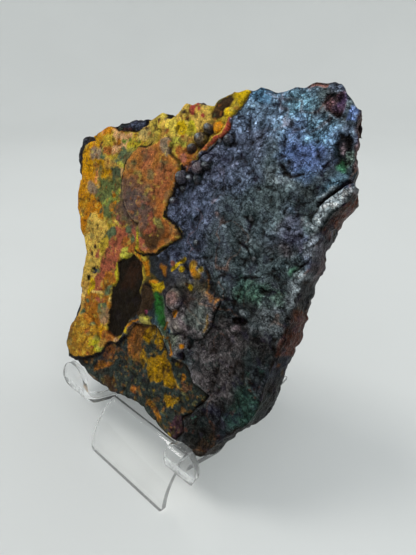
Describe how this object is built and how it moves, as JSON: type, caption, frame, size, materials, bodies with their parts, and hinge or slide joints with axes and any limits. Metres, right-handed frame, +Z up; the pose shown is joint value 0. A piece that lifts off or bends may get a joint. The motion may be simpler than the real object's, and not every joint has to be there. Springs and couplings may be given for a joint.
{
  "type": "turgite plate on easel",
  "caption": "Rough turgite plate with an iridescent, lumpy face, leaning on a clear bent-sheet display easel.",
  "frame": {"origin": "middle of the bounding box in X and Y, on the table", "axes": "+X to the right along the shelf seen from the front, +Y back, +Z up"},
  "size_m": [0.1212, 0.0798, 0.1247],
  "materials": {
    "turgite": "satin",
    "clear_acrylic": "gloss"
  },
  "bodies": {
    "root": {"turgite": "turgite", "display_easel": "clear_acrylic"}
  },
  "joints": []
}
